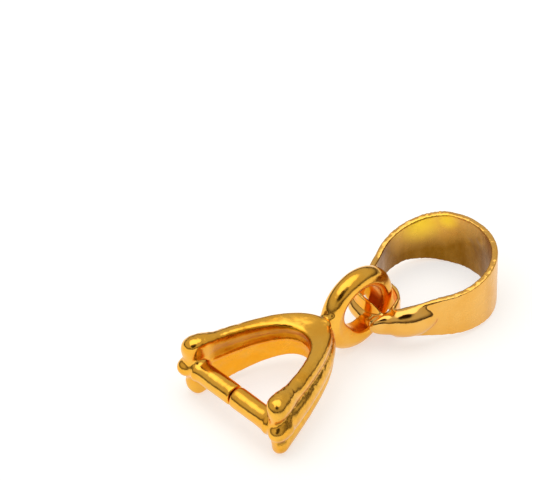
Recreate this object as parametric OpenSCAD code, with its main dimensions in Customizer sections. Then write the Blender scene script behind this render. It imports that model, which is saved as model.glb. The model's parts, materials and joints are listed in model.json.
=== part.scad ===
// Pinch bail finding: a fluted clip with two pins, linked by its cast ring to the eye of a flat bail loop.
// It lies as it does on a table: +X runs from the clip to the bail, +Z is up, and the origin is under the
// middle of the whole finding. Millimetres.

/* [Clip] */
// Distance from the middle of the ring to the axis of the pins
pin_reach = 10.2; // [7:0.1:20]
// Gap between the inner faces of the arms at the pins
jaw_gap = 6.4; // [4:0.1:14]
// Height of an arm at its free end
arm_height = 4.3; // [3:0.1:5.2]
// Thickness of an arm at its free end
arm_thick = 1.45; // [1:0.05:3]
// Height of the neck
neck_height = 2.4; // [1.6:0.1:3]
// Depth of solid metal between the ring and the crotch of the arms
neck_depth = 1.6; // [1:0.1:3]

/* [Pins] */
// Diameter of a pin
pin_d = 1.4; // [0.8:0.1:2]
// Gap between the ends of the two pins
pin_gap = 0.12; // [0.05:0.01:1]
// Diameter of the foot where a pin grows out of its arm
pin_foot_d = 1.7; // [1:0.1:2.8]
// Length of that foot
pin_foot = 0.3; // [0.1:0.05:1]

/* [Ring] */
// Outer diameter of the ring
ring_d = 5.7; // [4.5:0.1:9]
// Thickness of the ring from inside to outside
ring_thick = 1.1; // [0.8:0.05:1.6]
// Width of the ring along its axis
ring_width = 1.5; // [0.8:0.05:1.8]

/* [Bail loop] */
// Width of the strip at the round end, where it stands on its edge
strip_width = 4.0; // [2.8:0.1:7]
// Width of the strip where the near leg meets the eye
strip_narrow = 2.3; // [1.4:0.1:2.8]
// How far the near leg sits below the middle of the strip where it meets the eye
leg_drop = 0.15; // [0:0.05:0.3]
// Thickness of the strip
strip_thick = 0.4; // [0.3:0.05:0.7]
// Outer diameter of the round end of the loop
loop_d = 7.8; // [5:0.1:14]
// Distance from the hinge line to the near side of the round end's full circle
loop_neck = 0.1; // [0:0.1:8]
// Angle of the bail to the clip as it lies
swing_rest = -10; // [-24:1:24]

/* [Eye] */
// Clearance between the eye's bend and the ring as the bail swings
eye_clear = 0.02; // [0.01:0.01:0.3]
// How much further the eye reaches on the side of the leaf
eye_shift = 0.35; // [0:0.05:0.8]
// Gap between the ring and the wall that closes the eye
eye_play = 0.13; // [0.08:0.01:0.4]
// How far the eye's far side and the wall that closes it reach above the middle of the strip
eye_top = 0.7; // [0.5:0.05:1.2]
// How far they reach below the middle of the strip
eye_low = 1.5; // [1:0.05:1.8]
// How far the eye's bend inside the ring reaches above the middle of the strip
bend_top = 1.4; // [0.7:0.05:1.6]
// Height of the half-round tail of the strip
tail_height = 1.2; // [0.8:0.05:1.3]
// Thickness of that tail
tail_thick = 0.65; // [0.6:0.05:1]
// Length of the leaf at the end of the tail, from its widest place to the tip
leaf_tip = 1.8; // [1.2:0.1:3]
// Height of that leaf
leaf_height = 2.2; // [1.4:0.05:2.6]

/* [Hidden] */

$fn = 96;
eps = 0.01;

// Ring and hinge
ring_r = ring_d / 2;
ring_hole_r = ring_r - ring_thick;
hinge_x = ring_r - ring_thick / 2;
ring_edge = 0.05;
ring_bevel = 0.2;
ring_mid_r = ring_r - ring_width / 2 + ring_edge;

// Arms: an inner and an outer curve in plan, each from the neck to the free end
neck_inside = ring_r + neck_depth;
neck_overlap = 0.45;
neck_outside = ring_r - neck_overlap;
neck_lean = 0.2;
jaw_half = jaw_gap / 2;
jaw_bow = 0.65;
back_bow = 0.55;
arm_swell = 1.6;
arm_stations = 14;

// Ribs, as shares of the height of the arm
side_rib = 0.17;
middle_rib = 0.24;
rib_step = 0.07;
groove_inside = 0.025;
corner_round = 0.06;
corner_points = 2;
rib_points = 6;

// The free end of an arm is rounded, and its middle rib stands out in a nose
end_round = 0.55;
end_angles = [25, 50, 70, 85];
nose_r = 0.62;
nose_out = 0.35;
nose_length = 0.9;

// The end faces of the arms are fans from the middle of the inner face, the point after the first corner
cap_apex = corner_points + 1;

// The clip leans until the ring and the ends of the arms both touch the table
clip_lean = asin(ring_r / norm([pin_reach, arm_height / 2])) - atan2(arm_height / 2, pin_reach);

// Eye and legs of the bail, in the bail's own frame: the hinge line is the origin, +X runs to the round end
eye_drop = ring_r - strip_width / 2 + tail_height / 2;
ring_inner_x = hinge_x - sqrt(max(0, ring_hole_r * ring_hole_r - eye_drop * eye_drop));
ring_inner = [ring_inner_x, ring_width / 2 - ring_bevel];
eye_bend = norm(ring_inner) + eye_clear;
eye_wall = 0.26;
eye_mid = -0.15;
eye_front = ring_thick / 2 + eye_play;
eye_bulge_more = 0.25;
eye_bulge = eye_bend + eye_bulge_more;
tail_round = (tail_thick * tail_thick + tail_height * tail_height / 4) / (2 * tail_thick);
leg_set = 0.18;
leg_sink = 0.005;
far_leg_r = eye_bend + strip_thick - leg_set;
near_leg_r = eye_bend + strip_thick + leg_set;
loop_r = loop_d / 2;
loop_mid = loop_neck + loop_r;
loop_reach = loop_mid + loop_r;
far_leg_angle = asin((loop_r - far_leg_r) / (loop_mid - eye_mid));
near_leg_span = [loop_mid - eye_mid, eye_shift];
near_leg_slant = atan2(near_leg_span[1], near_leg_span[0]);
near_leg_angle = asin((loop_r - near_leg_r) / norm(near_leg_span)) - near_leg_slant;
eye_end = eye_mid - 2 * eye_bend;
far_rise = [-0.3, 0.1];
near_rise = [-1.0, -0.6];
wall_end = 1.3;
bend_fall = [-1.6, -1.1];
taper_reach = 0.8;
taper_start = eye_front + taper_reach;
taper_share = 0.7;
taper_end = loop_mid + loop_r * taper_share;
far_share = 0.5;
leaf_place = 1.15;
leaf_back = 1.7;
leaf_thick = 0.7;
leaf_end = 0.15;
leaf_round = 1.4;
tail_length = 1.2;
eye_reach = 2 * (eye_bend + tail_thick);

// Edges of the strip on each side of the bail: the place along X, the lower edge and the upper edge
far_edges = [
    [eye_end, -tail_height / 2, tail_height / 2],
    [far_rise[0], -tail_height / 2, tail_height / 2],
    [far_rise[1], -eye_low, eye_top],
    [taper_start, -eye_low, eye_top],
    [
        along(taper_start, taper_end, far_share),
        -eye_low,
        along(eye_top, strip_width / 2, far_share)
    ],
    [taper_end, -strip_width / 2, strip_width / 2],
    [loop_reach, -strip_width / 2, strip_width / 2]
];
near_edges = [
    [eye_end, -tail_height / 2, tail_height / 2],
    [near_rise[0], -tail_height / 2, tail_height / 2],
    [near_rise[1], -strip_narrow / 2 - leg_drop, strip_narrow / 2 - leg_drop],
    [taper_end, -strip_width / 2, strip_width / 2],
    [loop_reach, -strip_width / 2, strip_width / 2]
];

// Upper part of the bend in the ring's hole, on the far and on the near side of its middle
far_bend_edges = [
    [eye_end, 0, bend_top],
    [far_rise[0], 0, bend_top],
    [far_rise[1], 0, eye_top]
];
near_bend_edges = [
    [eye_end, 0, bend_top],
    [bend_fall[0], 0, bend_top],
    [bend_fall[1], 0, tail_height / 2]
];

// Where the hinge stands in the part's frame: the origin is under the middle of the part's box
bail_turned = [loop_mid * cos(swing_rest), loop_mid * sin(swing_rest)];
clip_back = pin_reach * cos(clip_lean) + nose_out + nose_r;
clip_side = jaw_half + arm_thick;
box_low = [-clip_back, min(-clip_side, bail_turned[1] - loop_r)];
box_high = [hinge_x + bail_turned[0] + loop_r, max(clip_side, bail_turned[1] + loop_r)];
ring_place = [-(box_low[0] + box_high[0]) / 2, -(box_low[1] + box_high[1]) / 2, ring_r];

// A point of a curve that starts at a, is pulled towards b and ends at c
function bend(a, b, c, t) = (1 - t) * (1 - t) * a + 2 * t * (1 - t) * b + t * t * c;

function along(a, b, t) = a + (b - a) * t;

function arc_points(middle, r, from, to, steps) =
    [for (i = [0:steps]) middle + r * [cos(along(from, to, i / steps)), sin(along(from, to, i / steps))]];

// Inner and outer side of an arm in plan: t runs from 0 at the neck to 1 at the free end
function arm_inside(t) = bend(
    [-neck_inside, 0],
    [-neck_inside, jaw_half * jaw_bow],
    [-pin_reach, jaw_half],
    t
);

function arm_outside(t) = bend(
    [-neck_outside, 0],
    [-neck_outside - neck_lean, (jaw_half + arm_thick) * back_bow],
    [-pin_reach, jaw_half + arm_thick],
    t
);

// Point where two circles of an outline cross, on the outer side
function crossing(a, ra, b, rb) = let (
    d = norm(b - a),
    u = (b - a) / d,
    x = (d * d + ra * ra - rb * rb) / (2 * d)
) a + x * u + sqrt(ra * ra - x * x) * [-u[1], u[0]];

function direction(from, to) = atan2(to[1] - from[1], to[0] - from[0]);

// Cross section of an arm: a nearly flat inner face, and three rounded ribs on the outside
function arm_section(wall, h) = let (
    r = side_rib * h,
    r_mid = middle_rib * h,
    side = [wall - r - rib_step * h, h / 2 - r],
    middle = [wall - r_mid, 0],
    groove = crossing(side, r, middle, r_mid),
    side_end = direction(side, groove),
    middle_end = direction(middle, groove),
    c = corner_round * h
) concat(
    arc_points([c, c - h / 2], c, 270, 180, corner_points),
    [[groove_inside * h, 0]],
    arc_points([c, h / 2 - c], c, 180, 90, corner_points),
    arc_points(side, r, 90, side_end, rib_points),
    arc_points(middle, r_mid, middle_end, -middle_end, rib_points),
    arc_points([side[0], -side[1]], r, -side_end, -90, rib_points)
);

// One station of the arm on one side: t runs from 0 at the neck to 1 at the free end, and past the end
// the angle a rounds it off
function arm_station(side, t, a) = let (
    inside = arm_inside(t),
    outside = arm_outside(t),
    wall = norm(outside - inside),
    out = (outside - inside) / wall,
    h = along(neck_height, arm_height, pow(t, arm_swell)),
    inset = end_round * (1 - cos(a)),
    reach = end_round * sin(a)
) [for (p = arm_section(wall, h)) let (
    n = wall / 2 + (p[0] - wall / 2) * (1 - 2 * inset / wall),
    z = p[1] * (1 - 2 * inset / h)
) [inside[0] + n * out[0] - reach * out[1], side * (inside[1] + n * out[1] + reach * out[0]), z]];

module arms() {
    stations = concat(
        [for (i = [len(end_angles) - 1:-1:0]) arm_station(-1, 1, end_angles[i])],
        [for (i = [arm_stations:-1:1]) arm_station(-1, i / arm_stations, 0)],
        [for (i = [0:arm_stations]) arm_station(1, i / arm_stations, 0)],
        [for (a = end_angles) arm_station(1, 1, a)]
    );
    m = len(stations[0]);
    last = len(stations) - 1;
    polyhedron(
        points = [for (s = stations) for (p = s) p],
        faces = concat(
            [for (j = [1:m - 2]) [cap_apex, (cap_apex + j) % m, (cap_apex + j + 1) % m]],
            [for (j = [1:m - 2]) last * [m, m, m] + [cap_apex, (cap_apex + j + 1) % m, (cap_apex + j) % m]],
            [for (i = [0:last - 1]) for (j = [0:m - 1]) let (k = (j + 1) % m)
                [i * m + k, i * m + j, (i + 1) * m + j]],
            [for (i = [0:last - 1]) for (j = [0:m - 1]) let (k = (j + 1) % m)
                [i * m + k, (i + 1) * m + j, (i + 1) * m + k]]
        )
    );
}

// Nose of the middle rib of the arm on the +Y side
module nose() {
    translate([-pin_reach - nose_out, clip_side - nose_r, 0]) {
        sphere(r = nose_r);
        rotate([0, 90, 0])
            cylinder(r = nose_r, h = nose_length);
    }
}

// Pin that grows out of the arm on the +Y side
module pin() {
    rotate([90, 0, 0]) {
        translate([-pin_reach, 0, -jaw_half - arm_thick / 2])
            cylinder(d = pin_d, h = jaw_half + arm_thick / 2 - pin_gap / 2);
        translate([-pin_reach, 0, -jaw_half - eps])
            cylinder(d1 = pin_foot_d, d2 = pin_d, h = pin_foot);
    }
}

// Ring that stands in the plane of the clip: rounded outside, flat inside
module ring() {
    rotate([90, 0, 0])
        rotate_extrude()
            intersection() {
                union() {
                    translate([ring_mid_r, 0])
                        circle(d = ring_width - 2 * ring_edge);
                    polygon([
                        [ring_hole_r, -ring_width / 2 + ring_bevel],
                        [ring_mid_r, -ring_width / 2],
                        [ring_mid_r, ring_width / 2],
                        [ring_hole_r, ring_width / 2 - ring_bevel]
                    ]);
                }
                translate([ring_hole_r, -ring_width])
                    square([ring_thick, 2 * ring_width]);
            }
}

module pinch_clip() {
    color("gold")
        translate(ring_place)
            rotate([0, -clip_lean, 0])
                difference() {
                    union() {
                        arms();
                        ring();
                        for (side = [0, 1])
                            mirror([0, side, 0]) {
                                nose();
                                pin();
                            }
                    }
                    rotate([90, 0, 0])
                        cylinder(r = ring_hole_r, h = 2 * ring_width, center = true);
                }
}

// Point where a leg leaves a circle: side is 1 for the far leg and -1 for the near one
function leg_point(middle, r, angle, side) = middle + r * [-sin(angle), side * cos(angle)];

// Teardrop in plan, set in from the outside of the strip; the legs end just inside the circle
module teardrop(inset) {
    r = loop_r - inset;
    leg_end_r = r - leg_sink;
    translate([loop_mid, 0])
        circle(r = r);
    polygon([
        leg_point([eye_mid, -eye_shift], near_leg_r - inset, near_leg_angle, -1),
        leg_point([loop_mid, 0], leg_end_r, near_leg_angle, -1),
        leg_point([loop_mid, 0], leg_end_r, far_leg_angle, 1),
        leg_point([eye_mid, 0], far_leg_r - inset, far_leg_angle, 1)
    ]);
}

// Hole or outside of the eye in plan: a long bend at the ring's hole and a bulge towards the loop
module eye_outline(wall) {
    intersection() {
        union() {
            for (shift = [0, eye_shift])
                translate([eye_mid, -shift])
                    circle(r = eye_bend + wall);
            translate([eye_mid - eye_bend - wall, -eye_shift])
                square([2 * (eye_bend + wall), eye_shift]);
        }
        translate([eye_front - eye_bulge, 0])
            circle(r = eye_bulge + wall);
    }
}

// Block between two places along Y whose side view has the edges of a table
module side_view(edges, from, to) {
    last = len(edges) - 1;
    translate([0, to, 0])
        rotate([90, 0, 0])
            linear_extrude(height = to - from)
                polygon(concat(
                    [for (e = edges) [e[0], e[1]]],
                    [for (i = [last:-1:0]) [edges[i][0], edges[i][2]]]
                ));
}

module strip() {
    intersection() {
        linear_extrude(height = strip_width, center = true)
            union() {
                difference() {
                    teardrop(0);
                    teardrop(strip_thick);
                }
                difference() {
                    eye_outline(eye_wall);
                    eye_outline(0);
                }
            }
        union() {
            side_view(far_edges, -wall_end, loop_r);
            side_view(near_edges, -loop_r, -wall_end);
            side_view(far_bend_edges, -eye_shift, eye_reach);
            side_view(near_bend_edges, -eye_reach, -eye_shift);
        }
    }
}

// Cross section of the tail: flat on the left, where it lies on the wall, and round on the right
module tail_section() {
    intersection() {
        translate([tail_thick - tail_round, 0])
            circle(r = tail_round);
        translate([0, -tail_height / 2])
            square([tail_thick, tail_height]);
    }
}

// Straight run of the tail from the origin along +X, with its flat face towards -Y
module tail_run(length) {
    rotate([90, 0, 90])
        linear_extrude(height = length)
            tail_section();
}

// Bend of the tail around the origin: a quarter that opens towards +X, and more by the angle of a leg
module tail_quarter(more) {
    intersection() {
        rotate_extrude()
            translate([eye_bend, 0])
                tail_section();
        linear_extrude(height = 2 * tail_height, center = true)
            polygon([
                [0, 0],
                [-eye_reach, 0],
                [-eye_reach, eye_reach],
                [-eye_reach * tan(more), eye_reach]
            ]);
    }
    rotate(more)
        translate([0, eye_bend, 0])
            tail_run(tail_length);
}

// Half-round tail: it comes from the far leg, goes round through the ring and lies down on the near leg
module tail() {
    translate([eye_mid, 0, 0])
        tail_quarter(far_leg_angle);
    translate([eye_mid, -eye_shift, 0])
        mirror([0, 1, 0])
            tail_quarter(near_leg_angle);
    translate([eye_mid - eye_bend, -eye_shift, 0])
        rotate(90)
            tail_run(eye_shift);
}

// Radius of an arc that drops by a depth over a length
function arc_radius(length, depth) = (length * length + depth * depth) / (2 * depth);

// Half of the leaf, from its widest place along +X to a point: a crowned lens that stands up from z = 0
module leaf_half(length) {
    side_r = arc_radius(length, leaf_height / 2);
    bow_r = arc_radius(length, leaf_thick - leaf_end);
    intersection() {
        linear_extrude(height = leaf_thick + strip_thick / 2)
            intersection() {
                translate([0, side_r - leaf_height / 2])
                    circle(r = side_r);
                translate([0, leaf_height / 2 - side_r])
                    circle(r = side_r);
                translate([0, -leaf_height])
                    square([2 * length, 2 * leaf_height]);
            }
        translate([0, 0, leaf_thick + strip_thick / 2 - bow_r])
            rotate([90, 0, 0])
                rotate_extrude()
                    translate([bow_r - leaf_round, 0])
                        circle(r = leaf_round);
    }
}

// Leaf-shaped end of the tail on the outside of the leg on the -Y side
module leaf() {
    translate([eye_mid, -eye_shift, 0])
        rotate(-near_leg_angle)
            translate([leaf_place, -near_leg_r + strip_thick / 2, 0])
                rotate([90, 0, 0]) {
                    leaf_half(leaf_tip);
                    mirror([1, 0, 0])
                        leaf_half(leaf_back);
                }
}

module bail_loop() {
    color("goldenrod")
        translate([ring_place[0] + hinge_x, ring_place[1], strip_width / 2])
            rotate(swing_rest)
                difference() {
                    union() {
                        strip();
                        tail();
                        leaf();
                    }
                    linear_extrude(height = 2 * strip_width, center = true)
                        eye_outline(0);
                }
}

pinch_clip();
bail_loop();
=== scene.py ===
import json
import math

import bmesh
import bpy
import numpy as np
from mathutils import Matrix, Vector, noise


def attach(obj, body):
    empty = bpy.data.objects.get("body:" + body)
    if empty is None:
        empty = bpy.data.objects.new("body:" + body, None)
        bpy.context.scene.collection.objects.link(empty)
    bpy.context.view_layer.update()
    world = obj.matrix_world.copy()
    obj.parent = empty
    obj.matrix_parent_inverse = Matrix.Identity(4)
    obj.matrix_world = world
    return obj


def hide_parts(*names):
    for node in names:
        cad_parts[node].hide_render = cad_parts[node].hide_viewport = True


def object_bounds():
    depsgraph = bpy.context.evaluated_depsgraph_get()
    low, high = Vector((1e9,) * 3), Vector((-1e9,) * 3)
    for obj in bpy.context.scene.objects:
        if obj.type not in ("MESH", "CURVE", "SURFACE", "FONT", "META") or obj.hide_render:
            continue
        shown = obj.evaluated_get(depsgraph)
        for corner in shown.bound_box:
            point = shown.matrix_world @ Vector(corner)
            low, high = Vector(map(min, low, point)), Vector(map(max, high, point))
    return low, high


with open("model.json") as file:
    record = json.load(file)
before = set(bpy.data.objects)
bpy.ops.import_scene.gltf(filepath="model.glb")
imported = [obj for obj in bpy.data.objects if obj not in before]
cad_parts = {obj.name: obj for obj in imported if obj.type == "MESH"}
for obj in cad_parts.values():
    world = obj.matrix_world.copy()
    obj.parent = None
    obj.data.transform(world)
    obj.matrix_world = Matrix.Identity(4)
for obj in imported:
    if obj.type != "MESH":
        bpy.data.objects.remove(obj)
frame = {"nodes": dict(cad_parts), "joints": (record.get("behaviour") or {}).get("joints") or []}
cad_low, cad_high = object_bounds()

MM = 0.001

# Sizes of the clip, as the CAD part has them
RING_R = 2.85
RING_THICK = 1.1
PIN_REACH = 10.2
PIN_R = 0.7
JAW_HALF = 3.2
ARM_THICK = 1.45
ARM_HEIGHT = 4.3
ARM_SWELL = 1.6
NECK_HEIGHT = 2.4
NECK_DEPTH = 1.6

# Sizes of the bail, as the CAD part has them
STRIP_WIDTH = 4.0
LOOP_MID = 4.0
BAIL_REST = -10.0

# Where the pieces lie: the hinge line stands in the ring's wire, at the ring's outer end
hinge = [v / MM for v in frame["joints"][0]["pos_m"]]
half_height = ARM_HEIGHT / 2
ring_mid = np.array([hinge[0] - RING_R + RING_THICK / 2, hinge[1], RING_R])
clip_lean = math.asin(RING_R / math.hypot(PIN_REACH, half_height)) - math.atan2(half_height, PIN_REACH)
bail_turn = math.radians(BAIL_REST)
bail_mid = np.array([hinge[0], hinge[1], STRIP_WIDTH / 2])


# Meshes: a CAD node is copied, cut into even small faces, smoothed, and then given its small marks

SPHERE_SEGMENTS = 48
SPHERE_RINGS = 32
HALF_WAY = 0.5
AWAY_LEAST = 0.1

# Noise: how a seed shifts it, how its octaves weaken and how much finer each one is
SEED_SHIFT = (7.3, 3.1, 5.7)
OCTAVE_FALL = 1.0
OCTAVE_STEP = 2.0


def new_object(name, data):
    made = bpy.data.objects.new(name, data)
    bpy.context.scene.collection.objects.link(made)
    return made


def add_ball(shape, place):
    """Adds a ball of radius 1, stretched and placed by a matrix."""
    bmesh.ops.create_uvsphere(
        shape,
        u_segments=SPHERE_SEGMENTS,
        v_segments=SPHERE_RINGS,
        radius=1,
        matrix=place,
    )


def voxel_copy(node, name, voxel, fillets=()):
    """A copy of a CAD node in millimetres with its solder fillets, as one even closed mesh."""
    mesh = frame["nodes"][node].data.copy()
    mesh.transform(Matrix.Scale(1 / MM, 4))
    shape = bmesh.new()
    shape.from_mesh(mesh)
    for fillet in fillets:
        add_ball(shape, fillet)
    shape.to_mesh(mesh)
    shape.free()
    piece = new_object(name, mesh)
    remesh = piece.modifiers.new("voxels", "REMESH")
    remesh.mode = "VOXEL"
    remesh.voxel_size = voxel
    remesh.adaptivity = 0
    view_graph = bpy.context.evaluated_depsgraph_get()
    even = bpy.data.meshes.new_from_object(piece.evaluated_get(view_graph))
    piece.modifiers.clear()
    piece.data = even
    bpy.data.meshes.remove(mesh)
    even.name = name
    return piece


def read_points(mesh):
    points = np.zeros(len(mesh.vertices) * 3)
    mesh.vertices.foreach_get("co", points)
    return points.reshape(-1, 3)


def read_edges(mesh):
    edges = np.zeros(len(mesh.edges) * 2, dtype=np.int32)
    mesh.edges.foreach_get("vertices", edges)
    return edges.reshape(-1, 2)


def read_normals(mesh, points):
    """The normals that the mesh has with its vertices at these points."""
    mesh.vertices.foreach_set("co", points.ravel())
    mesh.update()
    normals = np.zeros(len(points) * 3)
    mesh.vertex_normals.foreach_get("vector", normals)
    return normals.reshape(-1, 3)


def relax(points, edges, rounds, share):
    """Moves each point towards the middle of its neighbours; share is one number or one for each point."""
    count = len(points)
    both = np.concatenate([edges[:, 0], edges[:, 1]])
    other = np.concatenate([edges[:, 1], edges[:, 0]])
    many = np.bincount(both, minlength=count)[:, None]
    share = np.broadcast_to(np.asarray(share, dtype=float).reshape(-1, 1), (count, 1))
    for _ in range(rounds):
        sums = [np.bincount(both, weights=points[other, k], minlength=count) for k in range(3)]
        mean = np.stack(sums, axis=1) / many
        points = points + share * (mean - points)
    return points


def smooth(share):
    """Eases a share at both of its ends, 0 and 1."""
    return share * share * (3 - 2 * share)


def near(points, middle, reach):
    """1 at a place, falling smoothly to 0 at a distance of reach."""
    away = np.linalg.norm(points - np.asarray(middle), axis=1) / reach
    return smooth(np.clip(1 - away, 0, 1))


def strongest(points, places):
    """The largest of near() over a list of places and reaches."""
    return np.maximum.reduce([near(points, place, reach) for place, reach in places])


def rising(value, start, span):
    """0 up to start, then rising to 1 over span."""
    return np.clip((value - start) / span, 0, 1)


def falling(value, end, span):
    """0 from end on, 1 where value is below end by span or more."""
    return np.clip((end - value) / span, 0, 1)


def bell(value, middle, width):
    """1 at the middle, fading to both sides."""
    return np.exp(-((value - middle) / width) ** 2)


def facing(share, gain, start):
    """Turns how far a normal faces somewhere into a mask with a firm edge."""
    return np.clip(share * gain - start, 0, 1)


def facing_spot(own, normals, spot):
    """How far the normals face a spot in plan: 1 towards it, -1 away from it."""
    toward = np.asarray(spot) - own[:, :2]
    away = np.maximum(np.linalg.norm(toward, axis=1), AWAY_LEAST)
    return (toward * normals[:, :2]).sum(axis=1) / away


def uneven(points, height, size, seed, octaves=3):
    """Smooth noise from about -height to height whose lumps are about size across."""
    shift = Vector([seed * k for k in SEED_SHIFT])
    lumps = [noise.fractal(Vector(p) / size + shift, OCTAVE_FALL, OCTAVE_STEP, octaves) for p in points]
    return height * np.array(lumps)


def lift(points, normals, height):
    """Moves each point along its normal by its own height."""
    return points + normals * height[:, None]


def mark(points, normals, own, marks):
    """Raises or sinks each mark: its place in the piece's own frame, its reach and its height."""
    for place, reach, height in marks:
        points = lift(points, normals, height * near(own, place, reach))
    return points


def turn(points, angle, first, second):
    """Turns points by an angle from the first axis towards the second."""
    cosine = math.cos(angle)
    sine = math.sin(angle)
    turned = points.copy()
    turned[:, first] = points[:, first] * cosine - points[:, second] * sine
    turned[:, second] = points[:, first] * sine + points[:, second] * cosine
    return turned


def to_clip(points):
    """From the shared frame to the clip's own: the ring's middle is the origin, the arms run along -X."""
    return turn(points - ring_mid, -clip_lean, 0, 2)


def to_bail(points):
    """From the shared frame to the bail's own: the hinge is the origin, the loop runs along +X."""
    return turn(points - bail_mid, -bail_turn, 0, 1)


def add_mask(mesh, name, values):
    """Gives each vertex a value from 0 to 1 that a material reads."""
    layer = mesh.attributes.new(name, "FLOAT", "POINT")
    layer.data.foreach_set("value", np.clip(values, 0, 1).astype(np.float32))


def finish_piece(piece, points, material, node, body):
    """Sets the points, kept inside the box of the CAD part, and hangs the piece on its body."""
    points = np.clip(points, np.array(cad_low) / MM, np.array(cad_high) / MM)
    piece.data.vertices.foreach_set("co", (points * MM).ravel())
    piece.data.update()
    piece.data.shade_smooth()
    piece.data.materials.clear()
    piece.data.materials.append(material)
    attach(piece, body)
    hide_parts(node)


# Materials

METAL_IOR = 1.5

# The colour sockets of a mix node
MIX_FIRST = 6
MIX_SECOND = 7
MIX_RESULT = 2

# Stretched noise: a small number draws the lumps out along that axis
EVEN = (1, 1, 1)
ALONG_ARM = (0.4, 1, 1)
UPRIGHT = (1, 1, 0.5)
UPRIGHT_BANDS = (1, 1, 0.12)
ROLLED_LINES = (0.25, 0.25, 5.0)


class Shader:
    """A metal made of nodes, with short calls for them."""

    def __init__(self, name):
        self.material = bpy.data.materials.new(name)
        self.material.use_nodes = True
        self.tree = self.material.node_tree
        self.tree.nodes.clear()
        self.out = self.add("ShaderNodeOutputMaterial")
        self.metal = self.add("ShaderNodeBsdfPrincipled")
        self.metal.inputs["Metallic"].default_value = 1.0
        self.metal.inputs["IOR"].default_value = METAL_IOR
        self.link(self.metal.outputs[0], self.out.inputs["Surface"])
        self.place = self.add("ShaderNodeTexCoord").outputs["Object"]

    def add(self, kind, **values):
        made = self.tree.nodes.new(kind)
        for key, value in values.items():
            setattr(made, key, value)
        return made

    def link(self, a, b):
        self.tree.links.new(a, b)

    def finish(self, colour, roughness, normal):
        self.link(colour, self.metal.inputs["Base Color"])
        self.link(roughness, self.metal.inputs["Roughness"])
        self.link(normal, self.metal.inputs["Normal"])
        return self.material

    def noise(self, size, rough, detail=3, stretch=EVEN):
        """Noise whose lumps are about size millimetres across."""
        mapping = self.add("ShaderNodeMapping")
        mapping.inputs["Scale"].default_value = [k / (size * MM) for k in stretch]
        self.link(self.place, mapping.inputs["Vector"])
        made = self.add("ShaderNodeTexNoise")
        made.inputs["Scale"].default_value = 1.0
        made.inputs["Detail"].default_value = detail
        made.inputs["Roughness"].default_value = rough
        self.link(mapping.outputs[0], made.inputs["Vector"])
        return made.outputs["Fac"]

    def patches(self, size, rough, low, high, detail=3, least=0.0, most=1.0, stretch=EVEN):
        """Soft patches: least where the noise is under low, most where it is over high."""
        value = self.noise(size, rough, detail, stretch)
        made = self.add("ShaderNodeMapRange", clamp=True)
        made.inputs["From Min"].default_value = low
        made.inputs["From Max"].default_value = high
        made.inputs["To Min"].default_value = least
        made.inputs["To Max"].default_value = most
        self.link(value, made.inputs["Value"])
        return made.outputs[0]

    def mask(self, name):
        made = self.add("ShaderNodeAttribute", attribute_name=name)
        return made.outputs["Fac"]

    def patchy_mask(self, name, **patches):
        return self.maths("MULTIPLY", self.mask(name), self.patches(**patches))

    def maths(self, kind, a, b):
        made = self.add("ShaderNodeMath", operation=kind)
        for socket, value in zip(made.inputs, (a, b)):
            if isinstance(value, (int, float)):
                socket.default_value = value
            else:
                self.link(value, socket)
        return made.outputs[0]

    def mix(self, share, a, b):
        made = self.add("ShaderNodeMix", data_type="RGBA")
        self.link(share, made.inputs["Factor"])
        for socket, value in ((made.inputs[MIX_FIRST], a), (made.inputs[MIX_SECOND], b)):
            if isinstance(value, tuple):
                socket.default_value = (*value, 1)
            else:
                self.link(value, socket)
        return made.outputs[MIX_RESULT]

    def bump(self, height, depth, strength, after=None):
        made = self.add("ShaderNodeBump")
        made.inputs["Strength"].default_value = strength
        made.inputs["Distance"].default_value = depth * MM
        self.link(height, made.inputs["Height"])
        if after:
            self.link(after, made.inputs["Normal"])
        return made.outputs[0]


# Colours of the polished casting; the recess and shade colours are painted shade, the recess one a deeper
# orange like light reflected between gold faces
GOLD = (0.90, 0.48, 0.065)
GOLD_DEEP = (0.88, 0.41, 0.035)
GOLD_PAINTED_SHADE = (0.94, 0.42, 0.020)
GOLD_SHADE = (0.54, 0.20, 0.004)
GOLD_GROOVE_DARK = (0.36, 0.18, 0.02)

# Colours of the rolled strip; the recess colour is painted shade and the bright colour a painted highlight
SATIN = (0.85, 0.47, 0.11)
SATIN_WARM = (0.82, 0.41, 0.065)
SATIN_PAINTED_SHADE = (0.22, 0.085, 0.0)
SATIN_PAINTED_HIGHLIGHT = (1.0, 0.68, 0.045)
SATIN_BENT = (0.66, 0.34, 0.05)

# How much rougher the casting's recesses are, and how much smoother the strip's polished places are
RECESS_ROUGHER = 0.12
POLISH_SMOOTHER = 0.62


def cast_gold():
    s = Shader("cast_gold")
    tint = s.patches(size=1.6, rough=0.55, low=0.4, high=0.75)
    colour = s.mix(tint, GOLD, GOLD_DEEP)
    # Painted shade: the arms' inner faces and the ring's hole are coloured a deeper orange
    recess_painted_shade = s.patchy_mask("recess_painted_shade", size=0.8, rough=0.6, low=0.3, high=0.6, least=0.55)
    colour = s.mix(recess_painted_shade, colour, GOLD_PAINTED_SHADE)
    shade = s.patchy_mask("shade", size=0.9, rough=0.6, low=0.3, high=0.6, least=0.6, stretch=ALONG_ARM)
    colour = s.mix(shade, colour, GOLD_SHADE)
    # Darker brown in the grooves between the ribs and, more faintly, on the arms' outer faces
    groove_dark = s.patchy_mask("groove", size=0.35, rough=0.6, low=0.40, high=0.58, least=0.25)
    colour = s.mix(groove_dark, colour, GOLD_GROOVE_DARK)
    base = s.patches(size=0.9, rough=0.6, low=0.3, high=0.75, detail=4, least=0.13, most=0.24)
    dull = s.maths("ADD", s.mask("groove"), s.mask("recess_painted_shade"))
    roughness = s.maths("ADD", base, s.maths("MULTIPLY", dull, RECESS_ROUGHER))
    waves = s.bump(s.noise(size=0.7, rough=0.5, detail=2), depth=0.02, strength=0.5)
    grain = s.bump(s.noise(size=0.12, rough=0.6), depth=0.003, strength=0.5, after=waves)
    return s.finish(colour, roughness, grain)


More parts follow.
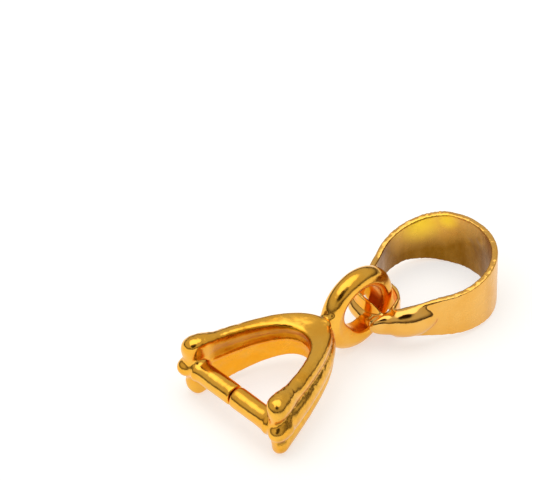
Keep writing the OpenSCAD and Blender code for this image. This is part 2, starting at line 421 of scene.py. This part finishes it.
def strip_gold():
    s = Shader("strip_gold")
    tint = s.patches(size=2.0, rough=0.55, low=0.4, high=0.75)
    colour = s.mix(tint, SATIN, SATIN_WARM)
    # Painted shade: darker brown low down inside the loop
    recess_painted_shade = s.patchy_mask("recess_painted_shade", size=1.1, rough=0.6, low=0.3, high=0.7, least=0.8, stretch=UPRIGHT)
    colour = s.mix(recess_painted_shade, colour, SATIN_PAINTED_SHADE)
    # Painted highlight: brighter yellow patches high inside the loop
    colour = s.mix(s.mask("painted_highlight"), colour, SATIN_PAINTED_HIGHLIGHT)
    # Painted shade: the eye's walls are coloured the deeper orange of the casting's inner faces
    colour = s.mix(s.mask("eye"), colour, GOLD_PAINTED_SHADE)
    bands = {"size": 1.3, "rough": 0.5, "low": 0.46, "high": 0.64, "detail": 2, "stretch": UPRIGHT_BANDS}
    bent = s.patchy_mask("outside", least=0.1, most=0.75, **bands)
    colour = s.mix(bent, colour, SATIN_BENT)
    base = s.patches(size=0.5, rough=0.65, low=0.3, high=0.75, detail=4, least=0.24, most=0.36)
    kept = s.maths("SUBTRACT", 1.0, s.maths("MULTIPLY", s.mask("polish"), POLISH_SMOOTHER))
    roughness = s.maths("MULTIPLY", base, kept)
    mottle = s.bump(s.noise(size=0.25, rough=0.7, detail=4), depth=0.006, strength=0.5)
    rolled = s.noise(size=0.5, rough=0.6, stretch=ROLLED_LINES)
    lines = s.bump(rolled, depth=0.004, strength=0.4, after=mottle)
    return s.finish(colour, roughness, lines)


# The clip

CLIP_VOXEL = 0.06
CLIP_SMOOTHING = 14
CLIP_JOIN_SMOOTHING = 30
LAST_SMOOTHING = 1

# Corners of the casting that are rounded further: place and reach
CLIP_JOINS = [
    ((-RING_R, 0.0, 0.0), 1.6),
    ((-PIN_REACH, -JAW_HALF, 0.0), 1.7),
    ((-PIN_REACH, JAW_HALF, 0.0), 1.7),
    ((-PIN_REACH, -JAW_HALF - ARM_THICK, 0.0), 1.6),
    ((-PIN_REACH, JAW_HALF + ARM_THICK, 0.0), 1.6),
]

# Outer faces of the arms: where the arms begin, their slant, the gain of the mask, and the wear on them
ARM_FROM = -RING_R - 0.2
ARM_OFF_MIDDLE = 0.5
ARM_SLANT = 0.4
OUTER_GAIN = 2
WEAR = 0.28
WEAR_START = 0.2

# Grooves between the ribs: level and width as shares of the arm's height, and a slight rise
GROOVE_LEVEL = 0.215
GROOVE_WIDTH = 0.038
GROOVE_RISE = 0.01

# Inner faces of the arms: the spot they face, the gain and start of the mask, and what it leaves out
JAW_MIDDLE = (-8.0, 0.0)
INNER_FACING = (1.6, 0.5)
INNER_TO = 0.4 - RING_R - NECK_DEPTH
PIN_CLEARANCE = 0.5

# Ridges and channels along the inner faces: level and width as shares of the arm's height, and height
INNER_RIDGES = [
    (0.05, 0.028, 0.090),
    (0.20, 0.080, -0.075),
    (0.40, 0.050, 0.040),
    (-0.22, 0.120, -0.050),
]

# The upper part of the inner faces is in the shade: start and span of its level
SHADE_FROM = (0.06, 0.06)

# Upper and lower rims of the arms: level and width as shares of the arm's height
RIM_LEVEL = 0.49
RIM_WIDTH = 0.05

# The ring's hole isn't quite round: its metal is thicker low down on the side of the neck
HOLE_FILL = 0.48
HOLE_FILL_ANGLE = -150
HOLE_FILL_SPAN = 80
HOLE_SKIN = 0.25
HOLE_FADE = 0.15

# Unevenness of the casting: height, size and seed
CLIP_WAVES = (0.012, 0.9, 1)
GROOVE_PITS = (0.045, 0.28, 2)
INNER_PITS = (0.018, 0.35, 3)
RIM_PITS = (0.03, 0.3, 5)

# Small lumps and dents of the casting in the clip's own frame: place, reach and height
CLIP_LUMPS = [
    ((-2.62, -0.55, 1.15), 0.46, 0.17),
    ((-2.80, -0.20, 1.05), 0.40, 0.12),
    ((-3.05, -0.50, 0.90), 0.44, 0.15),
    ((-3.35, -0.75, 0.80), 0.40, 0.10),
    ((-2.60, -0.80, 0.50), 0.40, 0.12),
    ((-9.90, -4.10, 0.55), 0.26, -0.12),
    ((-9.75, -3.85, 2.00), 1.70, 0.24),
    ((-9.75, 3.85, 2.00), 1.70, 0.24),
    ((-10.20, -3.00, -0.50), 1.20, 0.10),
    ((-9.30, 4.00, 1.60), 0.30, -0.05),
    ((-8.10, 3.60, 1.75), 0.35, 0.03),
    ((-6.90, 3.05, 1.62), 0.30, -0.04),
]


def fill_hole(points, own):
    """Thickens the wall of the ring's hole low down; also returns the mask of that whole wall."""
    angle = np.degrees(np.arctan2(own[:, 2], own[:, 0]))
    away = np.hypot(own[:, 0], own[:, 2])
    in_hole = falling(away, RING_R - RING_THICK + HOLE_SKIN, HOLE_FADE)
    off_angle = np.abs((angle - HOLE_FILL_ANGLE + 180) % 360 - 180)
    low_down = smooth(np.clip(1 - off_angle / HOLE_FILL_SPAN, 0, 1))
    to_axis = own * (-1, 0, -1) / np.maximum(away, AWAY_LEAST)[:, None]
    points = points + turn(to_axis, clip_lean, 0, 2) * (HOLE_FILL * in_hole * low_down)[:, None]
    return points, in_hole


def build_clip():
    clip = voxel_copy("pinch_clip", "clip_gold", CLIP_VOXEL)
    points = read_points(clip.data)
    edges = read_edges(clip.data)
    points = relax(points, edges, CLIP_SMOOTHING, HALF_WAY)
    joins = strongest(to_clip(points), CLIP_JOINS)
    points = relax(points, edges, CLIP_JOIN_SMOOTHING, HALF_WAY * joins)
    own = to_clip(points)
    normals = read_normals(clip.data, points)

    arm_share = np.clip((-own[:, 0] - RING_R) / (PIN_REACH - RING_R), 0, 1)
    arm_height = NECK_HEIGHT + (ARM_HEIGHT - NECK_HEIGHT) * arm_share ** ARM_SWELL
    level = own[:, 2] / arm_height
    on_arm = (own[:, 0] < ARM_FROM) & (np.abs(own[:, 1]) > ARM_OFF_MIDDLE)
    outward = normals[:, 1] * np.sign(own[:, 1]) + ARM_SLANT * normals[:, 0]
    in_groove = bell(np.abs(level), GROOVE_LEVEL, GROOVE_WIDTH)
    groove = in_groove * on_arm * facing(outward, OUTER_GAIN, 0)
    worn = WEAR * on_arm * facing(outward, OUTER_GAIN, WEAR_START)
    inward = facing(facing_spot(own, normals, JAW_MIDDLE), *INNER_FACING)
    off_pins = rising(np.abs(own[:, 0] + PIN_REACH), PIN_R, PIN_CLEARANCE)
    inner = inward * off_pins * (own[:, 0] < INNER_TO)
    ridges = sum(height * bell(level, place, width) for place, width, height in INNER_RIDGES)
    rim = on_arm * arm_share * bell(np.abs(level), RIM_LEVEL, RIM_WIDTH)

    points = lift(points, normals, uneven(points, *CLIP_WAVES))
    points = lift(points, normals, groove * (uneven(points, *GROOVE_PITS) + GROOVE_RISE))
    points = lift(points, normals, inner * (ridges + uneven(points, *INNER_PITS)))
    points, in_hole = fill_hole(points, own)
    points = mark(points, normals, own, CLIP_LUMPS)
    points = lift(points, normals, rim * uneven(points, *RIM_PITS))
    points = relax(points, edges, LAST_SMOOTHING, HALF_WAY)

    add_mask(clip.data, "groove", np.maximum(groove, worn))
    # Painted shade: mask of the arms' inner faces and the ring's hole, coloured deeper orange by the
    # material
    add_mask(clip.data, "recess_painted_shade", np.maximum(inner, in_hole))
    add_mask(clip.data, "shade", inner * rising(level, *SHADE_FROM))
    finish_piece(clip, points, cast_gold(), "pinch_clip", "clip")


build_clip()

# The bail

BAIL_VOXEL = 0.056
BAIL_SMOOTHING = 5
BAIL_JOIN_SMOOTHING = 60
BAIL_JOIN_GAIN = 2

# Joins of the strip that are rounded further, the leaf of its tail and the far root: place and reach
BAIL_JOINS = [
    ((0.0, -2.7, 0.0), 2.8),
    ((0.6, 1.7, 0.0), 1.5),
]

# Solder in the corner between the tail and the near leg: place along the leg, outwards and up; radii
EYE_MIDDLE = (-0.15, -0.35, 0.0)
NEAR_LEG_ANGLE = math.radians(21.9)
SOLDER_PLACE = (0.25, -1.84, -0.08)
SOLDER_RADII = (1.65, 0.44, 0.86)

# Unevenness of the strip: height, size, seed and octaves
STRIP_WAVES = (0.010, 0.8, 4)
EDGE_PITS = (0.022, 0.26, 6, 2)

# Small dents and bumps of the strip in the bail's own frame: place, reach and height
BAIL_MARKS = [
    ((6.9, 1.9, 0.75), 0.5, -0.05),
    ((7.3, 1.0, 0.35), 0.45, -0.05),
    ((7.5, 0.1, 0.95), 0.4, 0.04),
    ((6.4, 2.6, -0.2), 0.6, 0.04),
    ((1.9, -3.5, 0.5), 0.3, -0.03),
    ((0.20, -3.05, 0.20), 1.40, 0.06),
]

# Masks of the strip by facing: gain and start
WALL_FACING = (2, 0.3)
EDGE_FACING = (3, 1.4)

# Masks of the strip by place along the bail: start or end, and span
INSIDE_FROM = (0.9, 0.5)
OUTSIDE_FROM = (5.0, 1.0)
EDGE_FROM = (1.7, 0.8)
POLISH_TO = (2.6, 1.0)
EDGE_POLISH = 0.6

# Painted shade inside the loop: it is coloured darker downwards, at the round end and towards the legs
DARK_SHARE = 0.62
DARK_SLOPE = 0.42
DARK_END = 0.50
DARK_END_FROM = (6.5, 1.0)
DARK_LEGS = 0.75
DARK_LEGS_TO = (3.6, 1.5)

# Painted highlights, where the inside of the loop is coloured brighter: place and reach
PAINTED_HIGHLIGHTS = [
    ((5.2, 3.4, 1.4), 2.0),
    ((6.7, 2.5, 1.6), 1.1),
    ((3.6, 2.9, 1.2), 0.9),
]

# The eye's walls, painted with shade in a deeper orange: how far out they reach, the mask's fade, and how
# it leaves out their edges
EYE_REACH = 1.95
EYE_FADE = 0.2
EYE_WALL = 1.1
EYE_EDGE_LOSS = 1.5


def solder_place():
    bail_frame = Matrix.Translation(bail_mid) @ Matrix.Rotation(bail_turn, 4, "Z")
    leg_frame = Matrix.Translation(EYE_MIDDLE) @ Matrix.Rotation(-NEAR_LEG_ANGLE, 4, "Z")
    return bail_frame @ leg_frame @ Matrix.Translation(SOLDER_PLACE) @ Matrix.Diagonal((*SOLDER_RADII, 1))


def build_bail():
    bail = voxel_copy("bail_loop", "bail_gold", BAIL_VOXEL, [solder_place()])
    points = read_points(bail.data)
    edges = read_edges(bail.data)
    points = relax(points, edges, BAIL_SMOOTHING, HALF_WAY)
    joins = np.clip(strongest(to_bail(points), BAIL_JOINS) * BAIL_JOIN_GAIN, 0, 1)
    points = relax(points, edges, BAIL_JOIN_SMOOTHING, HALF_WAY * joins)
    own = to_bail(points)
    normals = read_normals(bail.data, points)
    own_normals = to_bail(points + normals) - own

    along = own[:, 0]
    level = own[:, 2]
    steep = np.abs(own_normals[:, 2])
    to_middle = facing_spot(own, own_normals, (LOOP_MID, 0.0))
    inside = facing(to_middle, *WALL_FACING) * rising(along, *INSIDE_FROM)
    outside = facing(-to_middle, *WALL_FACING) * rising(along, *OUTSIDE_FROM)
    edge = facing(steep, *EDGE_FACING) * rising(along, *EDGE_FROM)
    dark = DARK_SHARE - DARK_SLOPE * level
    dark = dark + DARK_END * rising(along, *DARK_END_FROM) + DARK_LEGS * falling(along, *DARK_LEGS_TO)
    eye_away = np.hypot(along - EYE_MIDDLE[0], own[:, 1] - EYE_MIDDLE[1] / 2)
    in_eye = falling(eye_away, EYE_REACH, EYE_FADE) * np.clip(EYE_WALL - EYE_EDGE_LOSS * steep, 0, 1)

    points = lift(points, normals, uneven(points, *STRIP_WAVES))
    points = lift(points, normals, edge * uneven(points, *EDGE_PITS))
    points = mark(points, normals, own, BAIL_MARKS)

    # Painted shade inside the loop
    add_mask(bail.data, "recess_painted_shade", inside * np.clip(dark, 0, 1))
    add_mask(bail.data, "painted_highlight", inside * strongest(own, PAINTED_HIGHLIGHTS))
    # Painted shade on the eye's walls
    add_mask(bail.data, "eye", in_eye)
    add_mask(bail.data, "outside", outside)
    add_mask(bail.data, "polish", np.maximum(falling(along, *POLISH_TO), edge * EDGE_POLISH))
    finish_piece(bail, points, strip_gold(), "bail_loop", "bail")


build_bail()

# Floor, in metres

FLOOR_HALF = 0.35
FLOOR_GLOW = 0.56
FLOOR_COLOUR = (0.62, 0.62, 0.62)
FLOOR_ROUGHNESS = 0.9
FLOOR_SHINE = 0.1
WHITE = (1, 1, 1, 1)


def flat_sheet(name, half):
    corners = [(-half, -half, 0), (half, -half, 0), (half, half, 0), (-half, half, 0)]
    mesh = bpy.data.meshes.new(name)
    mesh.from_pydata(corners, [], [(0, 1, 2, 3)])
    return new_object(name, mesh)


def floor_paint():
    material = bpy.data.materials.new("floor_white")
    material.use_nodes = True
    paint = material.node_tree.nodes["Principled BSDF"]
    paint.inputs["Base Color"].default_value = (*FLOOR_COLOUR, 1)
    paint.inputs["Roughness"].default_value = FLOOR_ROUGHNESS
    paint.inputs["Specular IOR Level"].default_value = FLOOR_SHINE
    paint.inputs["Emission Color"].default_value = WHITE
    paint.inputs["Emission Strength"].default_value = FLOOR_GLOW
    return material


floor = flat_sheet("floor", FLOOR_HALF)
floor.data.materials.append(floor_paint())

# Camera: it stands off the ring's middle at the photo's angle, and is then turned to frame the photo

IMAGE_W = 533
IMAGE_H = 481
CAMERA_HEIGHT = math.radians(42.805)
CAMERA_TURN = math.radians(44.181)
CAMERA_ROLL = math.radians(0.41)
CAMERA_AWAY = 215.0
PIXELS_PER_MM = 16.2
RING_PIXEL = (356.15, 306.98)
SENSOR = 36.0
NEAREST_M = 0.01
FARTHEST_M = 10


def camera_axes():
    """The camera's right, up and forward, with the ring's middle at its pixel of the photo."""
    rise = math.sin(CAMERA_HEIGHT)
    run = math.cos(CAMERA_HEIGHT)
    side = math.sin(CAMERA_TURN)
    ahead = math.cos(CAMERA_TURN)
    look = Vector((side * run, ahead * run, -rise))
    flat_right = Vector((ahead, -side, 0))
    flat_up = Vector((side * rise, ahead * rise, run))
    right = flat_right * math.cos(CAMERA_ROLL) - flat_up * math.sin(CAMERA_ROLL)
    up = flat_right * math.sin(CAMERA_ROLL) + flat_up * math.cos(CAMERA_ROLL)
    across = (RING_PIXEL[0] - IMAGE_W / 2) / focal
    down = (RING_PIXEL[1] - IMAGE_H / 2) / focal
    spot = Vector(ring_mid * MM) - look * CAMERA_AWAY * MM
    aim = (look - right * across + up * down).normalized()
    right = (right - aim * right.dot(aim)).normalized()
    return right, right.cross(aim), aim, spot


focal = PIXELS_PER_MM * CAMERA_AWAY
right, up, aim, spot = camera_axes()
camera_data = bpy.data.cameras.new("camera")
camera_data.sensor_width = SENSOR
camera_data.lens = focal * SENSOR / IMAGE_W
camera_data.clip_start = NEAREST_M
camera_data.clip_end = FARTHEST_M
camera = new_object("camera", camera_data)
camera.matrix_world = Matrix((
    (right.x, up.x, -aim.x, spot.x),
    (right.y, up.y, -aim.y, spot.y),
    (right.z, up.z, -aim.z, spot.z),
    (0, 0, 0, 1),
))
bpy.context.scene.camera = camera

# Light: a pale tent over a white table, brighter overhead, with a dark room seen under its edge and past it

# Each patch of the sky is a round area around a direction; edge and full are cosines of its angles
ROOM_COLOUR = (0.05, 0.03, 0.015)
SKY_PATCHES = [
    {"toward": (0.0, 0.0, 1.0), "edge": 0.06, "full": 0.42, "colour": (0.64, 0.61, 0.55)},
    {"toward": (-0.10, 0.06, 0.99), "edge": 0.76, "full": 0.88, "colour": (1.75, 1.73, 1.65)},
    {"toward": (-0.46, -0.49, 0.74), "edge": 0.90, "full": 0.962, "colour": (0.02, 0.008, 0.0)},
]


def add_patch(tree, place, below, patch):
    """Lays one patch over what lies below it."""
    toward = tree.nodes.new("ShaderNodeVectorMath")
    toward.operation = "DOT_PRODUCT"
    toward.inputs[1].default_value = Vector(patch["toward"]).normalized()
    tree.links.new(place, toward.inputs[0])
    fade = tree.nodes.new("ShaderNodeMapRange")
    fade.interpolation_type = "SMOOTHSTEP"
    fade.inputs["From Min"].default_value = patch["edge"]
    fade.inputs["From Max"].default_value = patch["full"]
    tree.links.new(toward.outputs["Value"], fade.inputs["Value"])
    lit = tree.nodes.new("ShaderNodeMix")
    lit.data_type = "RGBA"
    lit.clamp_result = False
    lit.inputs[MIX_FIRST].default_value = (*ROOM_COLOUR, 1)
    lit.inputs[MIX_SECOND].default_value = (*patch["colour"], 1)
    tree.links.new(fade.outputs[0], lit.inputs["Factor"])
    if below:
        tree.links.new(below, lit.inputs[MIX_FIRST])
    return lit.outputs[MIX_RESULT]


def studio_sky():
    world = bpy.data.worlds.new("studio_sky")
    world.use_nodes = True
    tree = world.node_tree
    place = tree.nodes.new("ShaderNodeTexCoord").outputs["Generated"]
    below = None
    for patch in SKY_PATCHES:
        below = add_patch(tree, place, below, patch)
    tree.links.new(below, tree.nodes["Background"].inputs["Color"])
    return world


bpy.context.scene.world = studio_sky()
bpy.context.scene.view_settings.view_transform = "Standard"
bpy.context.scene.view_settings.look = "None"
